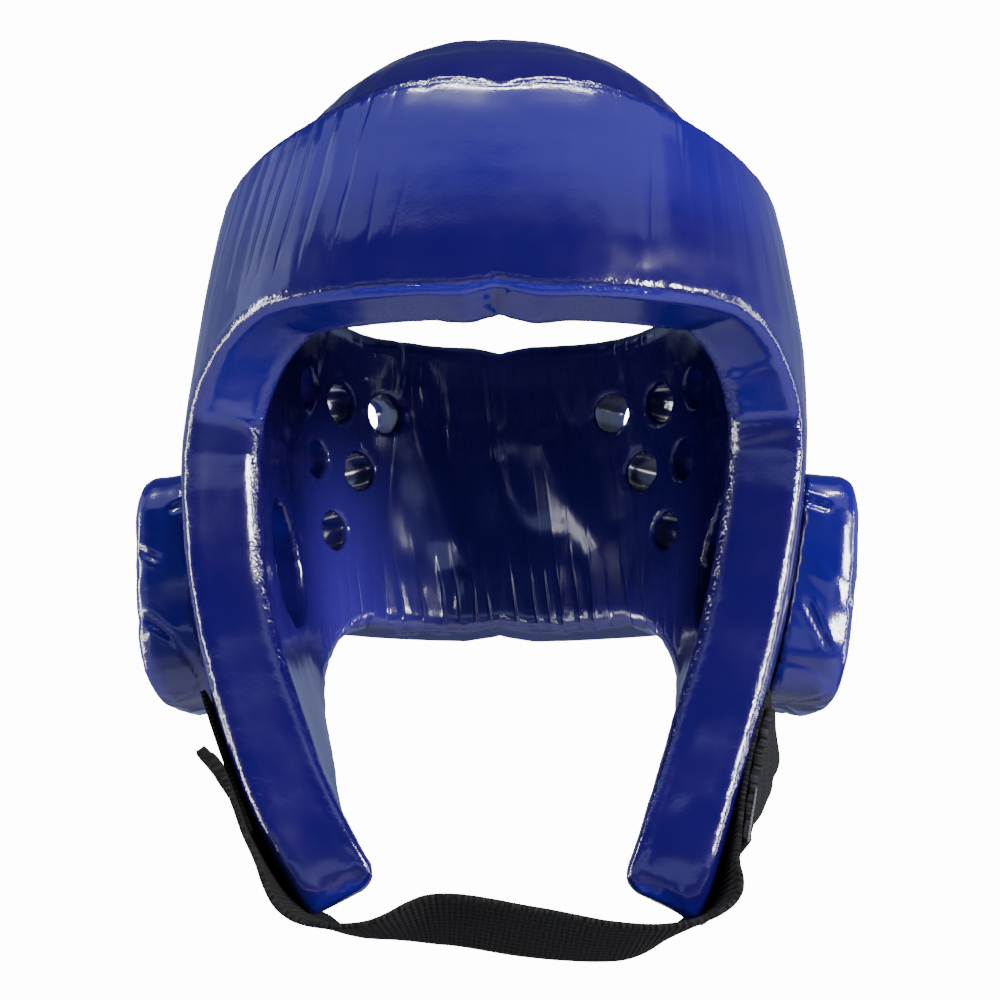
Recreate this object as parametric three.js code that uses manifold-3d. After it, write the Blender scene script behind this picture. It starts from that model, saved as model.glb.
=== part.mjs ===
// Taekwondo head guard of dipped foam, in millimetres, +Z up, the face looking along -Y. Left and
// right are the wearer's, so the left side lies towards +X.
// Two mirrored halves are cut from one thick foam sheet and glued edge to edge at the forehead
// and the nape. Each half carries a forehead band, a side wall with an ear opening, a cheek arm
// and half of the back panel. A domed crown pad sits on the ring's top edge and leaves a lens
// shaped opening behind it, an ear cup is glued over each ear opening, and an elastic chin strap
// runs from a hook patch on one arm to a loop patch on the other.

import * as THREE from "three";
import { mergeVertices } from "three/addons/utils/BufferGeometryUtils.js";
import Module from "manifold-3d";

const wasm = await Module();
wasm.setup();

// Driving sizes. The model is drawn with its zero at the brow edge, on the forehead's outer face.
const shellWidth = 202; // outside, from side to side, without the ear cups
const shellLength = 228; // outside, from forehead to nape
const bandHeight = 68; // brow edge to the forehead band's top edge
const armDrop = 171; // brow edge down to the ends of the cheek arms
const napeDrop = 71; // brow edge down to the nape edge
const backRise = 48; // brow edge up to the back panel's top edge
const sideRise = 55; // brow edge up to the top edge over the ears
const foam = 24.5; // thickness of the halves' foam sheet
const outerRim = 3; // rounding of the sheet's outer cut edge
const innerRim = 5; // rounding of the sheet's inner cut edge
const seamGap = 0.3; // between pieces that are glued or rest on each other
const seamNotch = 2; // dip of the sheet's edges where the halves meet
const templeDrop = 24; // brow edge down to where the cheek arm's front edge begins
const napeCornerDrop = 92; // brow edge down to where the arm's rear edge begins
const armTuck = 3.5; // how far the left cheek arm stands in, and the right one out
const ventRadius = 7.5;
const ventRowPitch = 26.5; // between rows of vents
const topVentRise = 16; // brow edge up to the top row of vents
const earOpening = { depth: 124, drop: 57, length: 46, height: 44 };
const earCup = { depth: 118, drop: 67.5, length: 68, height: 76, stand: 19.5, rim: 5 };
const earCupFlare = 0.14; // the cup stands this share more off the head at its bottom
const earCupDroop = 9; // degrees that the cup points down
const earCupHole = { length: 22, height: 30 };
const crownFoam = 20; // thickness of the crown pad
const crownRise = 117.5; // brow edge up to the crown pad's top
const crownDepth = 116; // forehead's outer face back to the crown pad's top
const crownSetback = 7; // crown pad's outer face behind the ring's outer face
const crownFullness = 2.4; // 2 is a parabola, and higher is flatter on top and steeper at the rim
const crownRearReach = 0.8; // share of the dome that the pad covers straight back
const strapWidth = 38;
const strapThickness = 2;
const patchWidth = 34;
const hookPatchThickness = 1.2;
const loopPatchThickness = 3;
const loopPatchStart = 0.8; // share of the strap's length

// The seam columns and the table angles are in degrees round the head: 0 is the forehead's
// middle, 90 the ear side and 180 the nape's middle.
const templeAngle = 57;
const napeCornerAngle = 128;
const browBendAngle = 32; // where the brow edge starts to turn down
const napeBendAngle = 148; // where the nape edge starts to turn down
const ventAngle = 133; // middle of the vents
const ventPitchAngle = 17;

// Outer outline of the wrapped foam at each level. A level above 0 is a share of bandHeight and
// one below 0 a share of armDrop. half is a share of half the shellWidth, front and back are
// shares of shellLength, and a squareness of 2 is an ellipse.
const OUTLINES = [
  { level: -1.1, half: 0.515, front: -0.03, back: 0.93, squareFront: 3.0, squareBack: 2.4 },
  { level: -1.0, half: 0.615, front: -0.03, back: 0.94, squareFront: 3.0, squareBack: 2.4 },
  { level: -0.87, half: 0.713, front: -0.03, back: 0.95, squareFront: 2.9, squareBack: 2.4 },
  { level: -0.75, half: 0.784, front: -0.03, back: 0.96, squareFront: 2.85, squareBack: 2.4 },
  { level: -0.63, half: 0.852, front: -0.03, back: 0.97, squareFront: 2.8, squareBack: 2.4 },
  { level: -0.5, half: 0.917, front: -0.03, back: 0.985, squareFront: 2.75, squareBack: 2.4 },
  { level: -0.33, half: 0.969, front: -0.03, back: 0.995, squareFront: 2.7, squareBack: 2.35 },
  { level: -0.17, half: 0.997, front: -0.021, back: 1.0, squareFront: 2.7, squareBack: 2.3 },
  { level: 0.0, half: 0.991, front: 0.0, back: 1.0, squareFront: 2.7, squareBack: 2.3 },
  { level: 0.3, half: 0.973, front: 0.014, back: 0.995, squareFront: 2.6, squareBack: 2.3 },
  { level: 0.6, half: 0.945, front: 0.028, back: 0.98, squareFront: 2.5, squareBack: 2.25 },
  { level: 0.85, half: 0.908, front: 0.042, back: 0.962, squareFront: 2.45, squareBack: 2.2 },
  { level: 1.0, half: 0.875, front: 0.053, back: 0.95, squareFront: 2.4, squareBack: 2.2 },
  { level: 1.2, half: 0.82, front: 0.068, back: 0.925, squareFront: 2.35, squareBack: 2.2 },
];

// Front and rear edge of the cheek arm, from the temple and the nape corner to the arm's end.
// level is a share of armDrop and depth one of shellLength.
const ARM_FRONT = [
  { level: -0.2, depth: 0.238 },
  { level: -0.3, depth: 0.247 },
  { level: -0.42, depth: 0.245 },
  { level: -0.54, depth: 0.232 },
  { level: -0.65, depth: 0.214 },
  { level: -0.76, depth: 0.194 },
  { level: -0.86, depth: 0.173 },
  { level: -0.94, depth: 0.154 },
  { level: -0.985, depth: 0.151 },
  { level: -1.0, depth: 0.178 },
];
const ARM_REAR = [
  { level: -0.59, depth: 0.7 },
  { level: -0.655, depth: 0.647 },
  { level: -0.72, depth: 0.595 },
  { level: -0.78, depth: 0.544 },
  { level: -0.83, depth: 0.497 },
  { level: -0.875, depth: 0.453 },
  { level: -0.915, depth: 0.411 },
  { level: -0.95, depth: 0.371 },
  { level: -0.98, depth: 0.336 },
  { level: -1.0, depth: 0.303 },
];

// The chin strap from the hook patch's side to the loop patch's side. On an arm, level is a share
// of armDrop, depth one of shellLength and stand the gap to the arm in strap thicknesses. Between the
// arms, across is a share of half the shellWidth and tilt turns the strap's outer face forward.
const STRAP_ON_HOOK_ARM = [
  { level: -0.75, depth: 0.3, stand: 2.75 },
  { level: -0.77, depth: 0.295, stand: 2 },
  { level: -0.8, depth: 0.285, stand: 1.3 },
  { level: -0.87, depth: 0.265, stand: 1 },
  { level: -0.94, depth: 0.24, stand: 1 },
];
const STRAP_UNDER_CHIN = [
  { across: -0.56, depth: 0.215, level: -1.013, tilt: 0 },
  { across: -0.46, depth: 0.207, level: -1.031, tilt: 5 },
  { across: -0.34, depth: 0.202, level: -1.029, tilt: 8 },
  { across: -0.17, depth: 0.2, level: -1.013, tilt: 21 },
  { across: 0.1, depth: 0.2, level: -1.035, tilt: 21 },
  { across: 0.34, depth: 0.202, level: -1.05, tilt: 16 },
  { across: 0.5, depth: 0.21, level: -1.04, tilt: 11 },
  { across: 0.61, depth: 0.228, level: -1.01, tilt: 4 },
];
const STRAP_ON_LOOP_ARM = [
  { level: -0.95, depth: 0.25, stand: 1.75 },
  { level: -0.88, depth: 0.27, stand: 0.9 },
  { level: -0.8, depth: 0.292, stand: 0.3 },
  { level: -0.73, depth: 0.31, stand: 0.2 },
  { level: -0.66, depth: 0.328, stand: 0.2 },
];
const HOOK_PATCH = { topLevel: -0.655, endLevel: -0.9, topDepth: 0.325, endDepth: 0.262 };

const radians = THREE.MathUtils.degToRad;
const smoothstep = THREE.MathUtils.smoothstep;
const levelHeight = (level) => level * (level > 0 ? bandHeight : armDrop);
const heightLevel = (z) => z / (z > 0 ? bandHeight : armDrop);

// Reads a table at a value of its first column, with a smooth curve through the rows.
function readTable(rows, key, value) {
  const up = rows[rows.length - 1][key] > rows[0][key] ? 1 : -1;
  const last = rows.length - 1;
  let i = rows.findIndex((row) => up * row[key] > up * value) - 1;
  if (i < 0) i = up * value < up * rows[0][key] ? 0 : last - 1;
  const span = rows[i + 1][key] - rows[i][key];
  const t = (value - rows[i][key]) / span;
  const found = {};
  for (const name of Object.keys(rows[0])) {
    const slope = (k) => {
      const [a, b] = [rows[Math.max(k - 1, 0)], rows[Math.min(k + 1, last)]];
      return ((b[name] - a[name]) / (b[key] - a[key])) * span;
    };
    const [p, q] = [rows[i][name], rows[i + 1][name]];
    const [m, n] = [slope(i), slope(i + 1)];
    found[name] =
      p + t * (m + t * (3 * (q - p) - 2 * m - n + t * (2 * (p - q) + m + n)));
  }
  return found;
}

// Spreads a table's rows evenly by their number, 0 for the first and 1 for the last.
function alongTable(rows, share) {
  const counted = rows.map((row, count) => ({ count, ...row }));
  return readTable(counted, "count", share * (rows.length - 1));
}

// Outline of the wrapped foam's outer face at a height.
function outlineAt(z) {
  const row = readTable(OUTLINES, "level", heightLevel(z));
  const front = row.front * shellLength;
  const back = row.back * shellLength;
  return {
    half: (row.half * shellWidth) / 2,
    middle: (front + back) / 2,
    reach: (back - front) / 2,
    front: row.squareFront,
    back: row.squareBack,
  };
}

// Point on the outer face at an angle round the head and a height, on the +X side.
function outerPoint(angle, z, tuck) {
  const o = outlineAt(z);
  const [s, c] = [Math.sin(radians(angle)), Math.cos(radians(angle))];
  const n = c > 0 ? o.front : o.back;
  const r = ((Math.abs(s) / o.half) ** n + (Math.abs(c) / o.reach) ** n) ** (-1 / n);
  const low = THREE.MathUtils.clamp(-z / armDrop, 0, 1);
  const tucked = tuck * Math.sin(0.9 * Math.PI * low) * (1 - smoothstep(angle, 62, 100));
  return new THREE.Vector3(r * s - tucked, o.middle - r * c, z);
}

// Outer face and its outward normal.
function outerFace(angle, z, tuck) {
  const step = 0.05;
  const at = outerPoint(angle, z, tuck);
  const round = outerPoint(angle + step, z, tuck).sub(outerPoint(angle - step, z, tuck));
  const up = outerPoint(angle, z + step, tuck).sub(outerPoint(angle, z - step, tuck));
  return { at, normal: round.cross(up).normalize() };
}

// Angle round the head at which the outer face lies at a depth behind the forehead.
function angleAtDepth(depth, z) {
  const o = outlineAt(z);
  const share = (o.middle - depth) / o.reach;
  const n = share > 0 ? o.front : o.back;
  const x = o.half * (1 - Math.abs(share) ** n) ** (1 / n);
  return THREE.MathUtils.radToDeg(Math.atan2(x, o.middle - depth));
}

// How much of the seam notch is left at an angle round the head.
function seamDip(angle) {
  const dipAngle = 6;
  return Math.max(0, 1 - Math.min(angle, 180 - angle) / dipAngle);
}

// The ring's edges, as heights at an angle round the head.
function ringTop(angle) {
  const side = THREE.MathUtils.lerp(bandHeight, sideRise, smoothstep(angle, 8, 62));
  return THREE.MathUtils.lerp(side, backRise, smoothstep(angle, 95, 150));
}

function browEdge(angle) {
  const turn = Math.max(0, (angle - browBendAngle) / (templeAngle - browBendAngle));
  return seamNotch * seamDip(angle) - templeDrop * turn ** 1.8;
}

function napeEdge(angle) {
  const turn = Math.max(0, (napeBendAngle - angle) / (napeBendAngle - napeCornerAngle));
  const drop = napeDrop + (napeCornerDrop - napeDrop) * turn ** 1.8;
  return seamNotch * seamDip(angle) - drop;
}

// Flat cell net of one half: rows of the ring from its lower line to its top edge, then rows of
// the cheek arm below the ring's side columns. Each point is an angle and a height.
function halfNet() {
  const [frontCells, sideCells, backCells, ringRows, armRows] = [11, 12, 8, 7, 13];
  const columns = [];
  for (let i = 0; i <= frontCells; i++) columns.push((templeAngle * i) / frontCells);
  for (let i = 1; i <= sideCells; i++) {
    columns.push(templeAngle + ((napeCornerAngle - templeAngle) * i) / sideCells);
  }
  for (let i = 1; i <= backCells; i++) {
    columns.push(napeCornerAngle + ((180 - napeCornerAngle) * i) / backCells);
  }
  const [first, last] = [frontCells, frontCells + sideCells];
  const points = [];
  const ring = columns.map((angle, i) => {
    const share = THREE.MathUtils.clamp((i - first) / (last - first), 0, 1);
    const inside = -THREE.MathUtils.lerp(templeDrop, napeCornerDrop, share);
    const low = i < first ? browEdge(angle) : i > last ? napeEdge(angle) : inside;
    return Array.from({ length: ringRows + 1 }, (_, j) => {
      const high = ringTop(angle) - seamNotch * seamDip(angle);
      const z = THREE.MathUtils.lerp(low, high, j / ringRows);
      return points.push({ angle, z, seam: angle === 0 || angle === 180 }) - 1;
    });
  });
  const cells = [];
  for (let i = 0; i + 1 < columns.length; i++) {
    for (let j = 0; j < ringRows; j++) {
      cells.push([ring[i][j], ring[i + 1][j], ring[i + 1][j + 1], ring[i][j + 1]]);
    }
  }
  let above = ring.slice(first, last + 1).map((column) => column[0]);
  for (let k = 1; k <= armRows; k++) {
    const ends = [ARM_FRONT, ARM_REAR].map((rows) => {
      const row = alongTable(rows, (k - 1) / (armRows - 1));
      const z = levelHeight(row.level);
      return { z, angle: angleAtDepth(row.depth * shellLength, z) };
    });
    const below = above.map((_, i) => {
      const share = i / sideCells;
      const angle = THREE.MathUtils.lerp(ends[0].angle, ends[1].angle, share);
      const z = THREE.MathUtils.lerp(ends[0].z, ends[1].z, share);
      return points.push({ angle, z }) - 1;
    });
    for (let i = 0; i < sideCells; i++) {
      cells.push([below[i], below[i + 1], above[i + 1], above[i]]);
    }
    above = below;
  }
  return { points, cells };
}

// Round net of rings between an inner and an outer outline, or round one middle point.
// place gives the point at a turn from 0 to 1 and a share from 0, inside, to 1, outside.
function roundNet(spokes, rings, open, place) {
  const points = [];
  const cells = [];
  const middle = open ? -1 : points.push(place(0, 0)) - 1;
  let inner = null;
  for (let k = open ? 0 : 1; k <= rings; k++) {
    const outer = Array.from({ length: spokes }, (_, i) => {
      return points.push(place(i / spokes, k / rings)) - 1;
    });
    for (let i = 0; i < spokes && (inner || !open); i++) {
      const next = (i + 1) % spokes;
      if (inner) cells.push([inner[i], outer[i], outer[next], inner[next]]);
      else cells.push([middle, outer[i], outer[next]]);
    }
    inner = outer;
  }
  return { points, cells };
}

// Makes a closed foam sheet from a net. face gives each point's place and outward normal. Each
// layer of the cut edge lies at a height off the face and a little way in from the edge, and the
// points within reach of the edge make room for it.
function foamSheet(net, face, layers, reach) {
  const faces = net.points.map(face);
  const used = new Set();
  for (const cell of net.cells) {
    cell.forEach((a, i) => used.add(`${a} ${cell[(i + 1) % cell.length]}`));
  }
  const edges = [...used].map((key) => key.split(" ").map(Number));
  const border = edges.filter(([a, b]) => !used.has(`${b} ${a}`));
  const inward = inwardSteps(net, faces, border, reach);
  const onBorder = new Set(border.flat());
  const position = [];
  const place = (at) => position.push(at.x, at.y, at.z) / 3 - 1;
  const rows = layers.map(({ height, inset }, k) => {
    const whole = k === 0 || k === layers.length - 1;
    return faces.map(({ at, normal }, i) => {
      if (!whole && !onBorder.has(i)) return -1;
      return place(at.clone().addScaledVector(normal, height).addScaledVector(inward[i], inset));
    });
  });
  const index = [];
  const polygon = ([a, b, c, d]) => index.push(a, b, c, ...(d === undefined ? [] : [a, c, d]));
  for (const cell of net.cells) {
    polygon(cell.map((i) => rows[0][i]));
    polygon(cell.map((i) => rows[layers.length - 1][i]).reverse());
  }
  for (const [a, b] of border) {
    for (let k = 0; k + 1 < layers.length; k++) {
      polygon([rows[k][b], rows[k][a], rows[k + 1][a], rows[k + 1][b]]);
    }
  }
  const geometry = new THREE.BufferGeometry();
  geometry.setAttribute("position", new THREE.Float32BufferAttribute(position, 3));
  return geometry.setIndex(index);
}

// The way each point of a net moves to make room for one millimetre of rounding at the border.
// It fades out with the distance from the border. A seam is no border, since it stays square.
function inwardSteps(net, faces, border, reach) {
  const isSeam = ([a, b]) => net.points[a].seam && net.points[b].seam;
  const rims = border.filter((edge) => !isSeam(edge));
  const sums = new Map();
  for (const [a, b] of rims) {
    const along = faces[b].at.clone().sub(faces[a].at).normalize();
    for (const i of [a, b]) {
      const step = faces[i].normal.clone().cross(along).normalize();
      sums.set(i, (sums.get(i) ?? new THREE.Vector3()).add(step));
    }
  }
  const line = new THREE.Line3();
  return faces.map(({ at, normal }, i) => {
    const step = new THREE.Vector3();
    if (sums.has(i)) step.copy(sums.get(i)).normalize();
    else {
      const [distance, nearest] = rims.reduce(
        ([least, found], [a, b]) => {
          const point = line.set(faces[a].at, faces[b].at).closestPointToPoint(at, true, step);
          const away = point.distanceTo(at);
          return away < least ? [away, point.clone()] : [least, found];
        },
        [reach, at],
      );
      step.copy(at).sub(nearest).normalize().multiplyScalar(1 - distance / reach);
    }
    if (net.points[i].seam) step.setX(0);
    return step;
  });
}

// Layers of a cut edge from the outer face to the inner one, each corner rounded.
function roundedEdge(outer, inner, outerRound, innerRound) {
  const arc = [0, 45, 90].map(radians);
  const upper = arc.map((a) => ({
    height: outer - outerRound * (1 - Math.cos(a)),
    inset: outerRound * (1 - Math.sin(a)),
  }));
  const lower = arc.map((a) => ({
    height: inner + innerRound * (1 - Math.cos(a)),
    inset: innerRound * (1 - Math.sin(a)),
  }));
  return [...upper, ...lower.reverse()];
}

function toSolid(geometry) {
  const bare = geometry.index ? geometry.clone() : geometry;
  bare.deleteAttribute("normal");
  bare.deleteAttribute("uv");
  const merged = mergeVertices(bare, 1e-4);
  return new wasm.Manifold(
    new wasm.Mesh({
      numProp: 3,
      vertProperties: merged.attributes.position.array,
      triVerts: new Uint32Array(merged.index.array),
    }),
  );
}

function toGeometry(solid) {
  const { vertProperties, triVerts } = solid.getMesh();
  const geometry = new THREE.BufferGeometry();
  geometry.setAttribute("position", new THREE.BufferAttribute(vertProperties, 3));
  geometry.setIndex(new THREE.BufferAttribute(triVerts, 1));
  return geometry;
}

// Round cutter along a face's normal.
function ventCutter(angle, z, tuck) {
  const { at, normal } = outerFace(angle, z, tuck);
  const cutter = new THREE.CylinderGeometry(ventRadius, ventRadius, 4 * foam, 16);
  const turn = new THREE.Quaternion().setFromUnitVectors(new THREE.Vector3(0, 1, 0), normal);
  return toSolid(cutter.applyQuaternion(turn).translate(at.x, at.y, at.z));
}

// Oval cutter from side to side through the ear opening.
function earCutter() {
  const oval = new THREE.Shape();
  const { depth, drop, length, height } = earOpening;
  oval.absellipse(depth, -drop, length / 2, height / 2, 0, 2 * Math.PI);
  const cutter = new THREE.ExtrudeGeometry(oval, {
    depth: shellWidth,
    bevelEnabled: false,
    curveSegments: 16,
  });
  const sideways = new THREE.Matrix4().set(0, 0, 1, 0, 1, 0, 0, 0, 0, 1, 0, 0, 0, 0, 0, 1);
  return toSolid(cutter.applyMatrix4(sideways));
}

function halfShell(tuck) {
  const face = ({ angle, z }) => {
    const found = outerFace(angle, z, tuck);
    if (angle === 0 || angle === 180) found.normal.setX(0).normalize();
    found.at.x += seamGap / 2;
    return found;
  };
  const layers = roundedEdge(0, -foam, outerRim, innerRim);
  let solid = toSolid(foamSheet(halfNet(), face, layers, 0.9 * foam));
  for (let row = 0; row < 3; row++) {
    for (let k = row; k < 3; k++) {
      const angle = ventAngle + ventPitchAngle * (k - 1 - row / 2);
      solid = solid.subtract(ventCutter(angle, topVentRise - row * ventRowPitch, tuck));
    }
  }
  return toGeometry(solid.subtract(earCutter()));
}

// Ear cup: a rounded pad that follows the side wall, with a hearing hole in its middle.
function earCupPad(tuck) {
  const place = (turn, share) => {
    const a = 2 * Math.PI * turn;
    const squared = (value, n) => Math.sign(value) * Math.abs(value) ** (2 / n);
    const hole = [Math.cos(a) * earCupHole.length, Math.sin(a) * earCupHole.height];
    const edge = [squared(Math.cos(a), 4) * earCup.length, squared(Math.sin(a), 4) * earCup.height];
    return {
      depth: earCup.depth + THREE.MathUtils.lerp(hole[0], edge[0], share) / 2,
      z: -earCup.drop + THREE.MathUtils.lerp(hole[1], edge[1], share) / 2,
    };
  };
  const face = ({ depth, z }) => {
    const { at, normal } = outerFace(angleAtDepth(depth, z), z, tuck);
    normal.setZ(0).normalize().setZ(-Math.tan(radians(earCupDroop))).normalize();
    const low = (-z - earCup.drop) / (earCup.height / 2);
    return { at, normal: normal.multiplyScalar(1 + earCupFlare * low) };
  };
  const layers = roundedEdge(earCup.stand + seamGap, 2 * seamGap, earCup.rim, seamGap);
  return foamSheet(roundNet(32, 3, true, place), face, layers, 1.6 * earCup.rim);
}

// Crown pad: a dome over the ring. It rests on the ring's top edge at the front and sides, and
// its rear edge stays clear of the back panel.
function crownPad() {
  const top = new THREE.Vector3(0, crownDepth, crownRise);
  const seat = (angle) => {
    const { at, normal } = outerFace(angle, ringTop(angle), 0);
    if (angle === 0 || angle === 180) at.setX(0);
    return { at: at.addScaledVector(normal, -crownSetback), normal };
  };
  const domePoint = (turn, share) => {
    const angle = 360 * turn;
    const mirrored = angle > 180 ? 360 - angle : angle;
    const { at, normal } = seat(mirrored);
    const point = top.clone().lerp(at, share);
    point.z = THREE.MathUtils.lerp(top.z, at.z, share ** crownFullness) + 2 * seamGap;
    if (angle > 180) {
      point.x *= -1;
      normal.x *= -1;
    }
    return { point, normal };
  };
  const reach = (turn) => {
    const back = 1 - Math.abs(2 * turn - 1);
    return THREE.MathUtils.lerp(1, crownRearReach, smoothstep(back, 0.68, 1));
  };
  const place = (turn, share) => {
    const angle = turn;
    return { turn: angle, share: share * reach(angle) };
  };
  const face = ({ turn, share }) => {
    const { point, normal } = domePoint(turn, share);
    const step = 0.004;
    const round = domePoint(turn + step, Math.max(share, step)).point;
    round.sub(domePoint(turn - step, Math.max(share, step)).point);
    const out = domePoint(turn, share + step).point.sub(domePoint(turn, share - step).point);
    const domeNormal = share === 0 ? new THREE.Vector3(0, 0, 1) : out.cross(round).normalize();
    const seated = smoothstep(share, 0.8, 1);
    return { at: point, normal: domeNormal.lerp(normal, seated).normalize() };
  };
  const layers = roundedEdge(0, -crownFoam, outerRim, outerRim);
  return foamSheet(roundNet(40, 8, false, place), face, layers, crownFoam);
}

// Frames along a smooth line through stations, each with its sideways and outward directions.
function framesAlong(stations, sections) {
  const curve = (key) => new THREE.CatmullRomCurve3(stations.map((station) => station[key]));
  const [middles, normals] = [curve("at"), curve("normal")];
  return Array.from({ length: sections + 1 }, (_, i) => {
    const along = middles.getTangent(i / sections);
    const across = normals.getPoint(i / sections).cross(along).normalize();
    const outward = along.clone().cross(across).normalize();
    return { at: middles.getPoint(i / sections), across, outward };
  });
}

// A strip with a flat section, swept through frames and standing a little off them.
function strip(frames, width, thickness, stand) {
  const position = frames.flatMap(({ at, across, outward }) => {
    return [[-1, 0], [1, 0], [1, 1], [-1, 1]].flatMap(([side, layer]) => {
      const corner = at.clone().addScaledVector(across, (side * width) / 2);
      return corner.addScaledVector(outward, stand + layer * thickness).toArray();
    });
  });
  const index = [0, 2, 1, 0, 3, 2];
  const end = 4 * (frames.length - 1);
  for (let i = 0; i < end; i += 4) {
    for (let k = 0; k < 4; k++) {
      const [a, b] = [i + k, i + ((k + 1) % 4)];
      index.push(a, b + 4, a + 4, a, b, b + 4);
    }
  }
  index.push(end, end + 1, end + 2, end, end + 2, end + 3);
  const geometry = new THREE.BufferGeometry();
  geometry.setAttribute("position", new THREE.Float32BufferAttribute(position, 3));
  return geometry.setIndex(index);
}

// A station on an arm's outer face, on the side given by its sign.
function onArm({ level, depth, stand }, side) {
  const z = levelHeight(level);
  const { at, normal } = outerFace(angleAtDepth(depth * shellLength, z), z, side * armTuck);
  at.addScaledVector(normal, stand * strapThickness);
  return {
    at: at.multiply(new THREE.Vector3(side, 1, 1)),
    normal: normal.multiply(new THREE.Vector3(side, 1, 1)),
  };
}

// Between the arms the strap's outer face looks down and is then turned forward by its tilt.
function strapFrames() {
  const hanging = STRAP_UNDER_CHIN.map(({ across, depth, level, tilt }) => ({
    at: new THREE.Vector3((across * shellWidth) / 2, depth * shellLength, levelHeight(level)),
    tilt: radians(tilt),
  }));
  const stations = [
    ...STRAP_ON_HOOK_ARM.map((row) => onArm(row, -1)),
    ...hanging,
    ...STRAP_ON_LOOP_ARM.map((row) => onArm(row, 1)),
  ];
  stations.forEach((station, i) => {
    if (station.normal) return;
    const along = stations[i + 1].at.clone().sub(stations[i - 1].at).normalize();
    station.normal = new THREE.Vector3(0, 1, 0).cross(along).normalize();
    station.normal.applyAxisAngle(along, -station.tilt);
  });
  return framesAlong(stations, 56);
}

function hookPatch() {
  const rows = [0, 0.25, 0.5, 0.75, 1].map((share) => ({
    level: THREE.MathUtils.lerp(HOOK_PATCH.topLevel, HOOK_PATCH.endLevel, share),
    depth: THREE.MathUtils.lerp(HOOK_PATCH.topDepth, HOOK_PATCH.endDepth, share),
    stand: seamGap / strapThickness,
  }));
  const frames = framesAlong(rows.map((row) => onArm(row, -1)), 12);
  return strip(frames, patchWidth, hookPatchThickness, 0);
}

// The loop patch lies over the strap's sewn end.
function loopPatch(frames) {
  const covered = frames.slice(Math.round(loopPatchStart * frames.length));
  return strip(covered, patchWidth, loopPatchThickness, strapThickness + seamGap);
}

const guard = new THREE.Group();

function addPiece(name, geometry, colour, roughness) {
  geometry.computeVertexNormals();
  const material = new THREE.MeshStandardMaterial({ color: colour, roughness, metalness: 0 });
  const piece = new THREE.Mesh(geometry, material);
  piece.name = name;
  guard.add(piece);
}

// Turns a +X side piece into its mirror image.
function mirrored(geometry) {
  geometry.scale(-1, 1, 1);
  geometry.index.array.reverse();
  return geometry;
}

const dippedBlue = 0x1420a8;
const webbingBlack = 0x0c0c0e;
const pileGrey = 0x2a2a2e;

addPiece("shell_half_left", halfShell(armTuck), dippedBlue, 0.18);
addPiece("ear_cup_left", earCupPad(armTuck), dippedBlue, 0.18);
addPiece("shell_half_right", mirrored(halfShell(-armTuck)), dippedBlue, 0.18);
addPiece("ear_cup_right", mirrored(earCupPad(-armTuck)), dippedBlue, 0.18);
addPiece("crown_pad", crownPad(), dippedBlue, 0.18);
const strapLine = strapFrames();
addPiece("chin_strap", strip(strapLine, strapWidth, strapThickness, 0), webbingBlack, 0.85);
addPiece("hook_patch", hookPatch(), webbingBlack, 0.9);
addPiece("loop_patch", loopPatch(strapLine), pileGrey, 0.95);

// The origin is the point where the top of the head meets the inside of the crown pad.
guard.position.set(0, -crownDepth, crownFoam - crownRise - 2 * seamGap);

export default guard;
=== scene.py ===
import math

import bmesh
import bpy
import numpy as np
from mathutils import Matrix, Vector


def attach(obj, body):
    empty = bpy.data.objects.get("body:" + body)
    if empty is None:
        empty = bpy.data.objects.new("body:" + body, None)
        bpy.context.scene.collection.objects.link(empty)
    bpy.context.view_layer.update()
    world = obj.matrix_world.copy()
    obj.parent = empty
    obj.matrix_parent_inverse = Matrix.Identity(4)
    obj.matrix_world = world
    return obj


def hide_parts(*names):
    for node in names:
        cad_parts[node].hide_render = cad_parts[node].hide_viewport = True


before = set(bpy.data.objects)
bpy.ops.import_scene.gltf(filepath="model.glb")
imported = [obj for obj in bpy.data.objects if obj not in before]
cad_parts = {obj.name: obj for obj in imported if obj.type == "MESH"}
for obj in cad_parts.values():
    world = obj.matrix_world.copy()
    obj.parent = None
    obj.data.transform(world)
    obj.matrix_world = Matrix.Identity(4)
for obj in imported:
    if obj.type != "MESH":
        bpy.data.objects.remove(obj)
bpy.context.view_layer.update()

# Lengths are in millimetres from the brow edge's middle, and turn into metres with MM.
MM = 0.001
BROW = np.array([0.0, 116.0, 98.1])  # the head seat's place, measured from the brow edge
HEAD_MIDDLE = (0.0, 113.0)  # x and y of the upright line that the foam bends round
WELD = 1e-6
SKIN_CELL = 1.25 * MM
CUP_CELL = 1.1 * MM
STRAP_THICK = 2.0
HOOK_THICK = 1.2
HOOK_PILE = 0.8
LOOP_THICK = 3.0
LOOP_SLIP = 6.0  # how much further down the strap the loop tape sits than its CAD strip


# Working on meshes as arrays of points.

def points_of(obj):
    co = np.empty(len(obj.data.vertices) * 3)
    obj.data.vertices.foreach_get("co", co)
    return co.reshape(-1, 3) / MM + BROW


def set_points(obj, points):
    obj.data.vertices.foreach_set("co", ((points - BROW) * MM).ravel())
    obj.data.update()


def normals_of(obj):
    no = np.empty(len(obj.data.vertices) * 3)
    obj.data.vertices.foreach_get("normal", no)
    return no.reshape(-1, 3)


def links_of(obj):
    ends = np.empty(len(obj.data.edges) * 2, int)
    obj.data.edges.foreach_get("vertices", ends)
    return ends.reshape(-1, 2)


def neighbour_mean(values, links, count):
    """Mean of each point's neighbours."""
    a, b = links.T
    degree = np.bincount(a, minlength=count) + np.bincount(b, minlength=count)
    columns = values.reshape(count, -1)
    means = [
        (np.bincount(a, c[b], count) + np.bincount(b, c[a], count)) / np.maximum(degree, 1)
        for c in columns.T
    ]
    return np.stack(means, 1).reshape(values.shape)


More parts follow.
